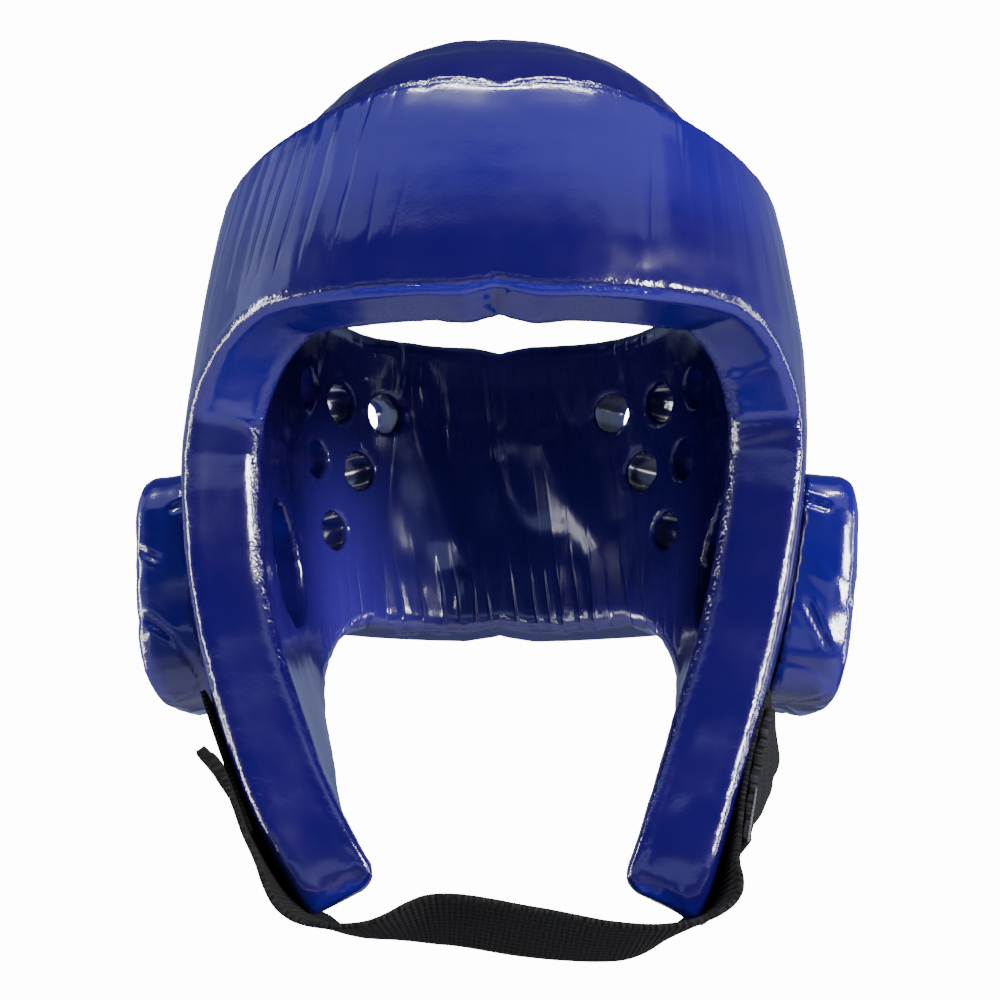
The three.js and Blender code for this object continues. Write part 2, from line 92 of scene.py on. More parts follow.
def relax(points, links, rounds):
    """Smooths without shrinking: each round draws in and then pushes out a little further."""
    for _ in range(rounds):
        for pull in (0.5, -0.53):
            step = neighbour_mean(points, links, len(points)) - points
            points = points + pull * step
    return points


def spread(values, links, rounds):
    """Evens values out over their neighbours."""
    for _ in range(rounds):
        values = 0.5 * values + 0.5 * neighbour_mean(values, links, len(values))
    return values


def ramp(x, low, high):
    """A smooth step, 0 up to low and 1 from high."""
    t = np.clip((x - low) / (high - low), 0, 1)
    return t * t * (3 - 2 * t)


LATTICE = np.random.RandomState(3).uniform(-1, 1, (32, 32, 32))
SEED_STEP = 7.31  # how far apart in the lattice two seeds are


def drift(points, size, seed=0):
    """Smooth noise from -1 to 1. size is the width of its bumps, one number or one per axis."""
    q = points / np.asarray(size, float) + seed * SEED_STEP
    cell = np.floor(q).astype(int)
    t = q - cell
    t = t * t * (3 - 2 * t)
    total = 0
    for corner in np.ndindex(2, 2, 2):
        i, j, k = ((cell + corner) % len(LATTICE)).T
        share = np.where(corner, t, 1 - t)
        total = total + LATTICE[i, j, k] * share[:, 0] * share[:, 1] * share[:, 2]
    return total


def creases(points, size, width, seed=0):
    """Thin connected lines, 1 on the line and 0 away from it."""
    return np.exp(-((drift(points, size, seed) / width) ** 2))


def along_line(points, start, end):
    """Distance from a stretch of straight line, and where along it, from 0 to 1."""
    start, end = np.array(start, float), np.array(end, float)
    way = end - start
    share = np.clip((points - start) @ way / (way @ way), 0, 1)
    return np.linalg.norm(points - start - share[:, None] * way, axis=1), share


LIP_HEIGHT = 0.45  # a fold's lips, as a share of its depth
LIP_PLACE = 1.9  # and how many widths from its middle they are


def fold_line(points, start, end, width, depth):
    """A groove along a stretch of line, with a low lip on each side."""
    distance, share = along_line(points, start, end)
    fade = ramp(share, -0.02, 0.12) * (1 - ramp(share, 0.85, 1.02)) + 0.15
    t = distance / width
    return depth * fade * (-np.exp(-t * t) + LIP_HEIGHT * np.exp(-((t - LIP_PLACE) ** 2)))


def folded(swell, points, folds):
    for fold in folds:
        swell += fold_line(points, *fold)
    return swell


# Making pieces.

def linked(name, bm):
    """An object in the scene from a finished bmesh, which is freed."""
    mesh = bpy.data.meshes.new(name)
    bm.to_mesh(mesh)
    bm.free()
    obj = bpy.data.objects.new(name, mesh)
    bpy.context.scene.collection.objects.link(obj)
    return obj


def cad_copy(*node_names):
    """A bmesh with copies of CAD nodes, their loose triangles joined."""
    bm = bmesh.new()
    for node_name in node_names:
        bm.from_mesh(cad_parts[node_name].data)
    bmesh.ops.remove_doubles(bm, verts=bm.verts, dist=WELD)
    return bm


def apply_modifiers(obj):
    bpy.context.view_layer.update()
    graph = bpy.context.evaluated_depsgraph_get()
    made = bpy.data.meshes.new_from_object(obj.evaluated_get(graph))
    obj.modifiers.clear()
    obj.data = made
    obj.data.name = obj.name


def bulge_of(obj):
    """How sharply the skin bends outwards at each point, 0 on a flat and 1 on a rim."""
    points, links = points_of(obj), links_of(obj)
    pull = neighbour_mean(points, links, len(points)) - points
    bend = -np.einsum("ij,ij->i", pull, normals_of(obj))
    return ramp(spread(bend, links, 2), 0.012, 0.05)


def even_skin(obj, cell, rounds, rim_rounds=7):
    """Turns a faceted solid into one smooth skin of even cells that keeps its rims tight."""
    remesh = obj.modifiers.new("even skin", "REMESH")
    remesh.mode = "VOXEL"
    remesh.voxel_size = cell
    apply_modifiers(obj)
    links = links_of(obj)
    tight = relax(points_of(obj), links, rim_rounds)
    set_points(obj, tight)
    rim = spread(bulge_of(obj), links, 3)[:, None]
    smooth = relax(tight, links, rounds)
    set_points(obj, smooth + (tight - smooth) * np.clip(1.4 * rim, 0, 1))


def keep_marks(obj, **marks):
    """Stores, for each point, what the skin material reads there: a number or one per point."""
    for name, values in marks.items():
        attribute = obj.data.attributes.new(name, "FLOAT", "POINT")
        full = (np.zeros(len(obj.data.vertices)) + values).astype(np.float32)
        attribute.data.foreach_set("value", full)


def paint(obj, material):
    """Gives an object its one material and smooth shading."""
    obj.data.materials.clear()
    obj.data.materials.append(material)
    obj.data.polygons.foreach_set("use_smooth", [True] * len(obj.data.polygons))
    obj.data.update()


def finish_piece(obj, slot, material, *nodes):
    paint(obj, material)
    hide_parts(*nodes)
    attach(obj, "root")


# Material effects that several finishes share.

def new_group(name, inputs, outputs):
    """A node group. inputs and outputs are pairs of a label and a kind of socket."""
    group = bpy.data.node_groups.new(name, "ShaderNodeTree")
    for way, sockets in (("INPUT", inputs), ("OUTPUT", outputs)):
        for label, kind in sockets:
            group.interface.new_socket(name=label, in_out=way, socket_type="NodeSocket" + kind)
    return group, group.nodes.new("NodeGroupInput"), group.nodes.new("NodeGroupOutput")


def node(tree, kind, inputs=(), **settings):
    made = tree.nodes.new(kind)
    for key, value in settings.items():
        setattr(made, key, value)
    for key, value in dict(inputs).items():
        if isinstance(value, bpy.types.NodeSocket):
            tree.links.new(value, made.inputs[key])
        else:
            made.inputs[key].default_value = value
    return made


def math_node(tree, operation, *values, clamp=False):
    inputs = dict(enumerate(values))
    return node(tree, "ShaderNodeMath", inputs, operation=operation, use_clamp=clamp).outputs[0]


COLOUR_A, COLOUR_B, COLOUR_OUT = 6, 7, 2  # the colour sockets of a Mix node


def mix_colours(tree, share, first, second):
    """Blends two colours, each three numbers or another node's colour."""
    inputs = {"Factor": share}
    for key, colour in ((COLOUR_A, first), (COLOUR_B, second)):
        inputs[key] = colour if isinstance(colour, bpy.types.NodeSocket) else (*colour, 1)
    return node(tree, "ShaderNodeMix", inputs, data_type="RGBA").outputs[COLOUR_OUT]


CREASE_SCALE = 480.0
WAVE_SCALE = 55.0
WAVE_DEPTH = 0.5


def crinkle_group():
    """Fine sharp creases in a thin dipped skin, and a soft waviness under them."""
    group, given, out = new_group(
        "skin crinkle",
        [("Place", "Vector"), ("Crease depth", "Float")],
        [("Height", "Float"), ("Mottle", "Float")],
    )
    crease = node(group, "ShaderNodeTexNoise", {
        "Vector": given.outputs["Place"], "Scale": CREASE_SCALE,
        "Detail": 2.0, "Roughness": 0.5, "Distortion": 0.4,
    })
    centred = math_node(group, "SUBTRACT", crease.outputs["Fac"], 0.5)
    ridge = math_node(group, "MULTIPLY", math_node(group, "ABSOLUTE", centred), 6.0, clamp=True)
    ridge = math_node(group, "MULTIPLY", ridge, given.outputs["Crease depth"])
    wave = node(group, "ShaderNodeTexNoise", {
        "Vector": given.outputs["Place"], "Scale": WAVE_SCALE,
        "Detail": 2.0, "Roughness": 0.45,
    })
    swell = math_node(group, "MULTIPLY", wave.outputs["Fac"], WAVE_DEPTH)
    group.links.new(math_node(group, "ADD", ridge, swell), out.inputs["Height"])
    group.links.new(wave.outputs["Fac"], out.inputs["Mottle"])
    return group


PLEATS_PER_RADIAN = 13.0
PLEAT_CELLS_PER_METRE = 9.0
PLEAT_LEAN = 1.1  # radians round the head for each metre up
PLEAT_AXIS_Y = (HEAD_MIDDLE[1] - BROW[1]) * MM


def pleat_group():
    """Long upright creases round the head, where a bent sheet of foam buckles."""
    group, given, out = new_group("bend pleats", [("Place", "Vector")], [("Height", "Float")])
    split = node(group, "ShaderNodeSeparateXYZ", {"Vector": given.outputs["Place"]})
    depth = math_node(group, "SUBTRACT", PLEAT_AXIS_Y, split.outputs["Y"])
    turn = math_node(group, "ARCTAN2", split.outputs["X"], depth)
    sway = node(group, "ShaderNodeTexNoise", {"Vector": given.outputs["Place"], "Scale": 22.0})
    turn = math_node(group, "ADD", turn, math_node(group, "MULTIPLY", sway.outputs["Fac"], 0.05))
    lean = math_node(group, "MULTIPLY", split.outputs["Z"], PLEAT_LEAN)
    turn = math_node(group, "SUBTRACT", turn, lean)
    spot = node(group, "ShaderNodeCombineXYZ", {
        "X": math_node(group, "MULTIPLY", turn, PLEATS_PER_RADIAN),
        "Y": math_node(group, "MULTIPLY", split.outputs["Z"], PLEAT_CELLS_PER_METRE),
    })
    cells = node(group, "ShaderNodeTexVoronoi", {
        "Vector": spot.outputs[0], "Scale": 1.0, "Randomness": 0.85,
    }, voronoi_dimensions="2D", feature="DISTANCE_TO_EDGE")
    roof = math_node(group, "MULTIPLY", cells.outputs["Distance"], 1.4)
    line = node(group, "ShaderNodeMapRange", {
        "Value": cells.outputs["Distance"], "From Min": 0.0, "From Max": 0.13,
        "To Min": 0.0, "To Max": 0.45,
    }, interpolation_type="SMOOTHSTEP")
    group.links.new(math_node(group, "ADD", roof, line.outputs[0]), out.inputs["Height"])
    return group


def rib_group():
    """Ribs across a woven band, from its own length and width map, with painted shade in its
    grooves and random speckle.
    """
    group, given, out = new_group(
        "woven ribs",
        [("Map", "Vector"), ("Ribs", "Float"), ("Cords", "Float")],
        [("Height", "Float"), ("Groove shade and speckle", "Float")],
    )
    split = node(group, "ShaderNodeSeparateXYZ", {"Vector": given.outputs["Map"]})
    waves = []
    for axis, count in (("X", "Ribs"), ("Y", "Cords")):
        turns = math_node(group, "MULTIPLY", split.outputs[axis], given.outputs[count])
        waves.append(math_node(group, "SINE", math_node(group, "MULTIPLY", turns, 2 * math.pi)))
    cords = math_node(group, "MULTIPLY", waves[1], 0.35)
    height = math_node(group, "ADD", waves[0], cords)
    fuzz = node(group, "ShaderNodeTexNoise", {
        "Vector": given.outputs["Map"], "Scale": 1300.0, "Detail": 2.0,
    })
    painted_groove_shade = math_node(group, "MULTIPLY_ADD", height, 0.2, -1.0)
    speckle = math_node(group, "MULTIPLY", fuzz.outputs["Fac"], 3.0)
    group.links.new(math_node(group, "ADD", height, fuzz.outputs["Fac"]), out.inputs["Height"])
    group.links.new(math_node(group, "ADD", painted_groove_shade, speckle, clamp=True), out.inputs["Groove shade and speckle"])
    return group


crinkle = crinkle_group()
pleats = pleat_group()
ribs = rib_group()

SKIN_BLUE = (0.0062, 0.0002, 0.063)
# Two paler blues painted where the lamps leave the skin too dark: painted light, not the vinyl's
# own colour.
INSIDE_PAINTED_LIGHT = (0.035, 0.018, 0.24)
UNDER_PAINTED_LIGHT = (0.012, 0.003, 0.2)
SKIN_RELIEF = 0.0003  # metres for a bump height of 1


def new_material(name, **settings):
    material = bpy.data.materials.new(name)
    material.use_nodes = True
    shader = material.node_tree.nodes["Principled BSDF"]
    for key, value in settings.items():
        shader.inputs[key.replace("_", " ")].default_value = value
    return material, material.node_tree, shader


def skin_material():
    """Glossy blue vinyl. The points' marks say where it is crinkled or pleated, and where
    painted light makes it paler.
    """
    material, tree, shader = new_material("dipped skin", IOR=1.8)
    place = node(tree, "ShaderNodeTexCoord").outputs["Object"]

    def mark(name):
        return node(tree, "ShaderNodeAttribute", attribute_name=name).outputs["Fac"]

    fine = node(tree, "ShaderNodeGroup", {
        "Place": place, "Crease depth": mark("crinkle"),
    }, node_tree=crinkle)
    bent = node(tree, "ShaderNodeGroup", {"Place": place}, node_tree=pleats)
    bent = math_node(tree, "MULTIPLY", bent.outputs["Height"], mark("pleats"))
    height = math_node(tree, "ADD", fine.outputs["Height"], bent)
    bump = node(tree, "ShaderNodeBump", {
        "Height": height, "Strength": 1.0, "Distance": SKIN_RELIEF,
    })
    tree.links.new(bump.outputs["Normal"], shader.inputs["Normal"])
    gloss = math_node(tree, "MULTIPLY", fine.outputs["Mottle"], 0.22)
    tree.links.new(math_node(tree, "ADD", gloss, 0.05), shader.inputs["Roughness"])
    # Painted light: the inside and under marks make the blue paler where they lie.
    blue = mix_colours(tree, mark("inside"), SKIN_BLUE, INSIDE_PAINTED_LIGHT)
    blue = mix_colours(tree, mark("under"), blue, UNDER_PAINTED_LIGHT)
    tree.links.new(blue, shader.inputs["Base Color"])
    return material


def band_material(name, rib_count, cord_count, dark, light, relief, roughness):
    """A woven or fuzzy black. The counts are for each metre, and relief is in metres."""
    material, tree, shader = new_material(
        name, Roughness=roughness, Specular_IOR_Level=0.05, Sheen_Weight=0.01,
    )
    woven = node(tree, "ShaderNodeGroup", {
        "Map": node(tree, "ShaderNodeUVMap", uv_map="band").outputs["UV"],
        "Ribs": rib_count, "Cords": cord_count,
    }, node_tree=ribs)
    bump = node(tree, "ShaderNodeBump", {
        "Height": woven.outputs["Height"], "Strength": 0.8, "Distance": relief,
    })
    tree.links.new(bump.outputs["Normal"], shader.inputs["Normal"])
    # Painted shade: darker in the weave's grooves where it has ribs, with random speckle.
    black = mix_colours(tree, woven.outputs["Groove shade and speckle"], dark, light)
    tree.links.new(black, shader.inputs["Base Color"])
    return material


skin = skin_material()
webbing = band_material("elastic webbing", 620, 330, (0.004,) * 3, (0.016,) * 3, 0.0002, 0.8)
hook_tape = band_material("hook tape", 700, 700, (0.002,) * 3, (0.006,) * 3, 0.0003, 0.85)
loop_tape = band_material(
    "loop tape", 0, 0, (0.003, 0.003, 0.0035), (0.026, 0.026, 0.029), 0.0008, 0.95,
)
thread, _, _ = new_material("sewing thread", Base_Color=(0.05, 0.05, 0.055, 1), Roughness=0.6)


# The foam shell: both halves under one dipped skin.

def head_angle(points):
    """Degrees round the head, 0 at the forehead's middle, positive towards +X."""
    return np.degrees(np.arctan2(points[:, 0], HEAD_MIDDLE[1] - points[:, 1]))


def facing_out(points, normals):
    """1 where the skin faces away from the head and -1 where it faces in."""
    level = points[:, :2] - HEAD_MIDDLE
    level /= np.maximum(np.linalg.norm(level, axis=1), 1e-6)[:, None]
    return np.einsum("ij,ij->i", level, normals[:, :2])


# Each fold has its start, end, width and depth. A negative depth is a ridge.
TEMPLE_FOLDS = [
    ((-93, 48, -13.5), (-73.5, 60, -27.5), 1.1, 1.0),
    ((83.6, 36, -13.5), (63, 50, -17), 1.1, 1.0),
    ((89.9, 50, -27), (62.1, 62, -29.7), 1.2, 0.9),
    ((-88, 38, -6), (-70, 50, -12), 1.5, 0.5),
]
INNER_FOLDS = [
    ((-58, 193, -40), (-63, 186, -76), 1.8, 1.8),
    ((-30, 203, -50), (-37, 203, -72), 1.5, 1.5),
    ((-14, 205, -46), (-24, 205, -70), 1.4, 1.4),
    ((34, 204, -40), (22, 205, -70), 1.5, 1.7),
    ((48, 200, -38), (35, 203, -68), 1.5, 1.6),
    ((60, 190, -45), (66, 184, -78), 1.8, 1.6),
    ((-47, 198, 36), (-50, 196, 20), 1.6, 1.2),
    ((-54, 194, 34), (-56, 192, 18), 1.6, 1.0),
    ((-42, 198, 38), (-19, 204, -46), 9.0, -2.2),
    ((16, 205, 10), (34, 202, -40), 8.0, -1.1),
    ((-75, 170, -20), (-70, 176, -60), 6.0, -1.0),
]

END_TOP = -141  # where the arms' ends start to roll back
END_REACH = 30
END_ROLL = 9.0
BROW_ROLL = 2.2  # how far the brow's lower edge rolls in
TOP_ROLL = 2.2  # how far the forehead's top edge rolls in
TOP_RAISE = 4.8  # how far the forehead's top edge stands over its CAD line
SEAM_WIDTH = 1.5
SEAM_DEPTH = 0.12
NAPE_SEAM_DEPTH = 0.25  # more than at the forehead


def settle_arm_ends(points):
    """The cut ends of the arms: rolled back at the front, and each a little out of square."""
    x, y, z = points.T
    front = 1 - ramp(y, 50, 80)
    low = np.clip((END_TOP - z) / END_REACH, 0, 1.1)
    back = END_ROLL * low * low * front
    right_inner = ramp(x, -78, -56) * (x < 0) * ramp(-z, 128, 168)
    left = (x > 0) * ramp(-z, 140, 170)
    left_outer = ramp(x, 48, 68) * left
    drop = -3.2 * right_inner - 3.8 * left - 4.0 * left_outer
    return points + np.stack([3.4 * right_inner, back, drop], 1)


def shape_shell(obj):
    """Folds, rolls and slack skin on the shell, and the marks that its material reads."""
    set_points(obj, settle_arm_ends(points_of(obj)))
    points, normals, links = points_of(obj), normals_of(obj), links_of(obj)
    x, y, z = points.T
    aside = np.abs(x)
    angle = head_angle(points)
    rim = bulge_of(obj)
    out = facing_out(points, normals)
    outward = ramp(out, 0.2, 0.7)
    front = y < 60
    top = (1 - ramp(aside, 34, 78)) * front
    inside = ramp(-out, 0.1, 0.6) * ramp(y, 60, 120)
    outer_rim = rim * ramp(out, 0.1, 0.5)
    inner_rim = rim * ramp(-out, 0.1, 0.5)
    beside_rim = np.clip(2.2 * spread(inner_rim * (y < 110), links, 16), 0, 1)

    swell = 0.3 * drift(points, 36, 1) + 0.12 * drift(points, 16, 4)
    swell = folded(swell, points, TEMPLE_FOLDS + INNER_FOLDS)
    roll = (1 - ramp(z, -2, 17)) * (1 - ramp(aside, 28, 80)) * outward * front
    swell -= (BROW_ROLL + 0.5 * drift(points, 9, 17)) * roll
    swell -= TOP_ROLL * ramp(z, 48, 72) ** 2 * top * outward
    seam = np.exp(-((x / SEAM_WIDTH) ** 2))
    swell -= seam * (SEAM_DEPTH + NAPE_SEAM_DEPTH * (y > 150))
    pucker = np.exp(-(((x + 1) / 6) ** 2)) * np.exp(-(((z - 1) / 5) ** 2)) * front
    swell += pucker * (1.1 * np.abs(drift(points * (1, 0.6, 0.5), 2.6, 9)) - 0.7)
    slack = 0.8 * drift(points, (26, 26, 60), 11) - 0.8 * creases(points, (40, 40, 90), 0.07, 5)
    swell += inside * slack
    swell += outer_rim * 0.18 * drift(points, 4.5, 13)
    swell += inner_rim * 0.25 * drift(points, 4.2, 15)
    raised = points + normals * swell[:, None]
    raised[:, 2] += TOP_RAISE * ramp(z, 50, 74) * top
    set_points(obj, raised)

    faces_down_painted_light = ramp(-normals[:, 2], 0.25, 0.8) * (1 - inside)
    upright = ramp(out, 0.5, 0.9) * ramp(z, 4, 22) * (1 - 0.6 * ramp(z, 56, 70))
    crinkled = 0.02 + (0.6 * beside_rim + 0.13 * outer_rim) * (1 - ramp(-z, 145, 160))
    crinkled += 0.16 * top * ramp(z, 62, 72)
    bend = ramp(-angle, 12, 25) + 0.18 * ramp(angle, 12, 30)
    bent = 1.4 * upright * bend * (1 - ramp(np.abs(angle), 75, 100))
    back_pleats = 0.4 + 1.2 * ramp(-z, 34, 62) + 0.4 * drift(points, 30, 51)
    bent += inside * ramp(y, 150, 185) * back_pleats
    # Painted light: inside makes the back of the inside paler, and under makes faces turned down
    # and the outer face above the brow paler.
    keep_marks(
        obj,
        inside=inside * ramp(y, 140, 185),
        under=0.7 * faces_down_painted_light + 0.33 * upright * ramp(z, 18, 44),
        crinkle=np.clip(crinkled, 0, 1),
        pleats=np.clip(bent, 0, 3),
    )


shell = linked("foam_shell", cad_copy("shell_half_left", "shell_half_right"))
even_skin(shell, SKIN_CELL, 45)
shape_shell(shell)
finish_piece(shell, "dipped_skin", skin, "shell_half_left", "shell_half_right")


# The crown pad and the ear cups.

CROWN_TUCK = 3.0  # how far the pad's lower front edge goes down behind the forehead


def shape_crown(obj):
    points, normals = points_of(obj), normals_of(obj)
    x, y, z = points.T
    swell = 0.5 * drift(points, 30, 31) + 0.2 * drift(points, 11, 33)
    top_crease = ramp(z, 85, 112) * (y < 140)
    swell -= 0.5 * top_crease * creases(points, (16, 9, 12), 0.12, 35)
    tucked = points + normals * swell[:, None]
    tucked[:, 2] -= CROWN_TUCK * (1 - ramp(z, 74, 88)) * (y < 70)
    set_points(obj, tucked)
    keep_marks(
        obj,
        # Painted light: the pad's underside is painted paler.
        inside=ramp(-normals[:, 2], 0.1, 0.5),
        under=0,
        crinkle=np.clip(0.02 + 0.9 * ramp(z, 100, 114), 0, 1),
        pleats=0.5 * ramp(-x, 20, 60) * ramp(z, 70, 85),
    )


crown = linked("crown_pad_skin", cad_copy("crown_pad"))
even_skin(crown, SKIN_CELL, 40)
shape_crown(crown)
finish_piece(crown, "dipped_skin", skin, "crown_pad")

CUP_FOLDS = {
    "ear_cup_right": [
        ((-119, 85, -58), (-108, 84, -63), 1.2, 0.6),
        ((-114, 84, -80), (-103, 84, -88), 1.2, 0.6),
        ((-116, 90, -68), (-117, 120, -60), 2.2, 1.0),
        ((-106, 84, -46), (-96, 86, -42), 1.4, 1.0),
    ],
    "ear_cup_left": [
        ((99, 85, -64), (112, 85, -79), 1.2, 0.8),
        ((97, 84, -76), (104, 84, -92), 1.2, 0.8),
        ((116, 90, -62), (117, 120, -70), 2.2, 1.2),
        ((106, 84, -46), (96, 86, -42), 1.4, 1.0),
    ],
}


def shape_cup(obj, folds):
    points, normals = points_of(obj), normals_of(obj)
    rim = bulge_of(obj)
    swell = 0.5 * drift(points, 22, 41) + 0.25 * drift(points, 9, 43)
    swell += rim * 0.2 * drift(points, 4.5, 45)
    swell -= 0.5 * creases(points, (20, 20, 30), 0.05, 47)
    swell = folded(swell, points, folds)
    set_points(obj, points + normals * swell[:, None])
    keep_marks(
        obj,
        inside=0,
        # Painted light: the cups are painted paler all over, most of all where they face down.
        under=0.4 + 0.3 * ramp(-normals[:, 2], 0.3, 0.8),
        crinkle=np.clip(0.015 + 0.12 * rim, 0, 1),
        pleats=0,
    )


for node_name, folds in CUP_FOLDS.items():
    cup = linked(node_name + "_skin", cad_copy(node_name))
    even_skin(cup, CUP_CELL, 15)
    shape_cup(cup, folds)
    finish_piece(cup, "dipped_skin", skin, node_name)


# The strap and the tapes follow their CAD strips' own lines.

EDGE_SLACK = 0.03  # a strip's short edges are its thickness, within this
SECTION_STEP = 12  # a strip's sections are closer together than this, and it is wider


def strip_line(node_name, thick):
    """A CAD strip's sections: the inner face's middle, half the width, and the way out."""
    bm = cad_copy(node_name)
    partner, beside = {}, {}
    for edge in bm.edges:
        a, b = (v.index for v in edge.verts)
        length = edge.calc_length() / MM
        if abs(length - thick) < EDGE_SLACK:
            partner[a], partner[b] = b, a
        elif length < SECTION_STEP:
            beside.setdefault(a, set()).add(b)
            beside.setdefault(b, set()).add(a)
    spots = {v.index: np.array(v.co) / MM + BROW for v in bm.verts}
    bm.free()

    # Each corner pair is the inner and outer corner of one section, at the front or the rear.
    pairs = {frozenset(pair) for pair in partner.items()}
    home = {v: pair for pair in pairs for v in pair}
    near = {}
    for pair in pairs:
        others = [w for v in pair for w in beside.get(v, ()) if w in home]
        near[pair] = {home[w] for w in others} - {pair}
    middle = {pair: sum(spots[v] for v in pair) / 2 for pair in pairs}
    ends = [pair for pair in pairs if len(near[pair]) == 1]
    ends.sort(key=lambda pair: middle[pair][0])
    chains = []
    for start in ends[:2]:
        chain = [start]
        while True:
            onward = [pair for pair in near[chain[-1]] if pair not in chain]
            if not onward:
                break
            chain.append(onward[0])
        chains.append(chain)
    chains.sort(key=lambda chain: middle[chain[0]][1])
    front, rear = chains

    out = np.array([-1.0, 0, 0]) if middle[front[0]][0] < 0 else np.array([1.0, 0, 0])
    line = []
    for a, b in zip(front, rear):
        corners = sorted((spots[v] for v in a), key=lambda spot: spot @ out)
        others = sorted((spots[v] for v in b), key=lambda spot: spot @ out)
        out = (corners[1] - corners[0] + others[1] - others[0]) / 2
        out /= np.linalg.norm(out)
        line.append(((corners[0] + others[0]) / 2, (others[0] - corners[0]) / 2, out))
    return [np.array(part) for part in zip(*line)]


def resample(values, count):
    """Even smooth samples along rows of numbers, by cubic steps between them."""
    at = np.linspace(0, len(values) - 1, count)
    i = np.clip(at.astype(int), 0, len(values) - 2)
    t = (at - i)[:, None]
    slope = np.gradient(values, axis=0)
    p, q, m, n = values[i], values[i + 1], slope[i], slope[i + 1]
    return p + t * (m + t * (3 * (q - p) - 2 * m - n + t * (2 * (p - q) + m + n)))


def band_piece(name, line, thick, along, across, wave, hem=None):
    """A woven band over the sections of a line, with soft edges.

    along and across count its cells. wave lifts points off the line, and hem gives how many
    layers thick the band is at a share of its length.
    """
    middle, half, out = (resample(part, along + 1) for part in line)
    out /= np.linalg.norm(out, axis=1)[:, None]
    steps = np.linalg.norm(np.diff(middle, axis=0), axis=1)
    run = np.concatenate([[0], np.cumsum(steps)])
    width = np.linalg.norm(half, axis=1).mean()
    bm = bmesh.new()
    bmesh.ops.create_grid(bm, x_segments=along, y_segments=across, size=0.5)
    bm.faces.ensure_lookup_table()
    sheet = bm.faces[:]

    def cell_of(v):
        return round((v.co.x + 0.5) * along), round((v.co.y + 0.5) * across)

    inner = {v: cell_of(v) for v in bm.verts}
    raised = bmesh.ops.extrude_face_region(bm, geom=sheet)["geom"]
    outer = {v: cell_of(v) for v in raised if isinstance(v, bmesh.types.BMVert)}
    bmesh.ops.reverse_faces(bm, faces=sheet)
    uv = bm.loops.layers.uv.new("band")
    place = {}
    for cells, layer in ((inner, 0.0), (outer, 1.0)):
        for v, (i, j) in cells.items():
            side = 2 * j / across - 1
            share = run[i] / run[-1]
            bulge = math.sqrt(max(0.0, 1 - abs(side) ** 9))
            layers = hem(share) if hem else 1
            height = thick * (0.5 + (layer * layers - 0.5) * (0.75 + 0.25 * bulge))
            lift = wave(share, side, middle[i])
            spot = middle[i] + side * half[i] + (height + lift) * out[i]
            v.co = (spot - BROW) * MM
            place[v] = (run[i] * MM, side * width * MM)
    for face in bm.faces:
        for loop in face.loops:
            loop[uv].uv = place[loop.vert]
    bmesh.ops.recalc_face_normals(bm, faces=bm.faces)
    return linked(name, bm)


# How far a band's edges turn off its line at each height: the rear edge towards the arm,
# and on the left arm away from it by the loop tape.
TURN_HEIGHTS = [-190, -181, -170, -158, -147, -132, -110, -90]
RIGHT_REAR_TURN = [0, -2, -4.5, -5, -4.5, -4.5, -3.5, -3]
LEFT_FRONT_TURN = [0, 0, 0, -0.6, -1.3, -1.6, -1.6, -1.2]
LEFT_REAR_TURN = [0, -3, -6.5, -6, -1, 4.0, 4.5, 3]


def strap_turn(side, spot):
    """How far the strap is off its line. side is -1 at its front edge and 1 at its rear edge."""
    on_cheek = ramp(abs(spot[0]), 36, 58)
    if spot[0] < 0:
        rear = np.interp(spot[2], TURN_HEIGHTS, RIGHT_REAR_TURN)
        return float(on_cheek * rear * (1 + side) / 2)
    front = np.interp(spot[2], TURN_HEIGHTS, LEFT_FRONT_TURN)
    rear = np.interp(spot[2], TURN_HEIGHTS, LEFT_REAR_TURN)
    return float(on_cheek * (front * (1 - side) + rear * (1 + side)) / 2)


def strap_wave(share, side, spot):
    return 0.2 * math.sin(23 * share + 2 * side) * (1 - side * side) + strap_turn(side, spot)


def patch_wave(share, side, spot):
    return 0.25 * math.sin(31 * share + 3 * side) + strap_turn(side, spot)


def flat(share, side, spot):
    return 0.0


def strap_hem(share):
    """The free end is folded back on itself and stitched."""
    return 1 + 0.9 * float(ramp(np.float64(0.052 - share), 0, 0.004))


STITCH_SIZE = (1.2, 0.4, 0.45)
STITCH_SPOTS = 400  # even places along a band where a stitch can be


def stitches(name, line, side, start, end, count, lift):
    """A row of thread stitches along a band, from one share of it to another."""
    middle, half, out = (resample(part, STITCH_SPOTS + 1) for part in line)
    bm = bmesh.new()
    for k in range(count):
        at = int(round(STITCH_SPOTS * (start + (end - start) * k / (count - 1))))
        spot = middle[at] + side * half[at] + lift * out[at] / np.linalg.norm(out[at])
        ahead, behind = middle[min(at + 2, STITCH_SPOTS)], middle[max(at - 2, 0)]
        lean = Vector(half[at]).normalized() * (0.45 if k % 2 else 0.15)
        lie = Vector(ahead - behind).normalized() + lean
        turn = lie.to_track_quat("X", "Z").to_matrix().to_4x4()
        made = bmesh.ops.create_uvsphere(bm, u_segments=8, v_segments=5, radius=1.0)
        bmesh.ops.scale(bm, verts=made["verts"], vec=Vector(STITCH_SIZE) * MM)
        bmesh.ops.transform(bm, verts=made["verts"], matrix=turn)
        bmesh.ops.translate(bm, verts=made["verts"], vec=Vector((spot - BROW) * MM))
    return linked(name, bm)


def slipped_part(line, patch, slip):
    """The stretch of a line beside a patch, moved down it by a length."""
    places, _, _ = line
    ends = [int(np.argmin(np.linalg.norm(places - patch[k], axis=1))) for k in (0, -1)]
    low, high = sorted(ends)
    step = np.linalg.norm(places[high] - places[high - 1])
    back = int(round(slip / step))
    return [part[low - back:high - back + 1] for part in line]


